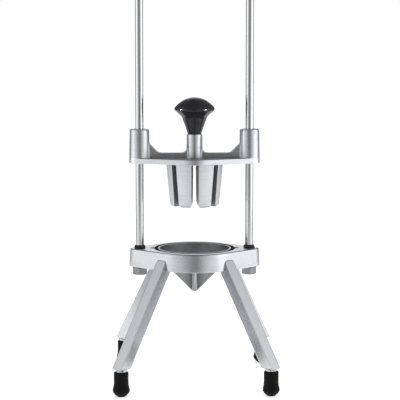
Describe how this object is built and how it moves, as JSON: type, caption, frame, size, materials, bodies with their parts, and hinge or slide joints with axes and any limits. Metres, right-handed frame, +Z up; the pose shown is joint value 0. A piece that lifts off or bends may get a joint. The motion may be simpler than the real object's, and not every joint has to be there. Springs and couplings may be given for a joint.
{
  "type": "apple slicer wedger press",
  "caption": "Bench press that pushes a fruit down between two guide rods through radial blades; cast frame on splayed legs with rubber feet.",
  "frame": {"origin": "on the surface that the feet stand on, midway between the guide rods", "axes": "+Z up along the guide rods, +X from the left rod to the right rod, +Y to the rear"},
  "size_m": [0.202, 0.202, 0.4745],
  "materials": {
    "cast_aluminium": "satin cast and tumbled",
    "leg_aluminium": "brushed along the leg",
    "block_aluminium": "satin cast",
    "ground_rod": "ground and polished",
    "blade_steel": "brushed stainless",
    "zinc_steel": "bright zinc",
    "black_rubber": "moulded, satin",
    "gasket_rubber": "moulded, glossy",
    "knob_plastic": "gloss black",
    "bearing_bronze": "machined bronze",
    "brass": "machined brass"
  },
  "bodies": {
    "base": {"base_frame": "cast_aluminium", "blade_front": "blade_steel", "blade_gasket": "gasket_rubber", "blade_hub": "blade_steel", "blade_left": "blade_steel", "blade_rear": "blade_steel", "blade_right": "blade_steel", "blade_ring": "blade_steel", "guide_rod_left": "ground_rod", "guide_rod_right": "ground_rod", "leg_front_left": "leg_aluminium", "leg_front_right": "leg_aluminium", "leg_rear_left": "leg_aluminium", "leg_rear_right": "leg_aluminium", "leg_screws": "zinc_steel", "rod_bumper_left": "black_rubber", "rod_bumper_right": "black_rubber", "rod_nut_left": "zinc_steel", "rod_nut_right": "zinc_steel", "rod_washer_left": "zinc_steel", "rod_washer_right": "zinc_steel", "rubber_foot_front_left": "black_rubber", "rubber_foot_front_right": "black_rubber", "rubber_foot_rear_left": "black_rubber", "rubber_foot_rear_right": "black_rubber"},
    "pusher": {"knob": "knob_plastic", "knob_insert": "brass", "knob_stud": "zinc_steel", "lower_bush_left": "bearing_bronze", "lower_bush_right": "bearing_bronze", "push_block": "block_aluminium", "push_block_screws": "zinc_steel", "push_head": "cast_aluminium", "upper_bush_left": "bearing_bronze", "upper_bush_right": "bearing_bronze"}
  },
  "joints": [
    {"name": "head_slide", "type": "slide", "parent": "base", "child": "pusher", "axis": [0, 0, 1], "range_m": [-0.101, 0.15]}
  ]
}
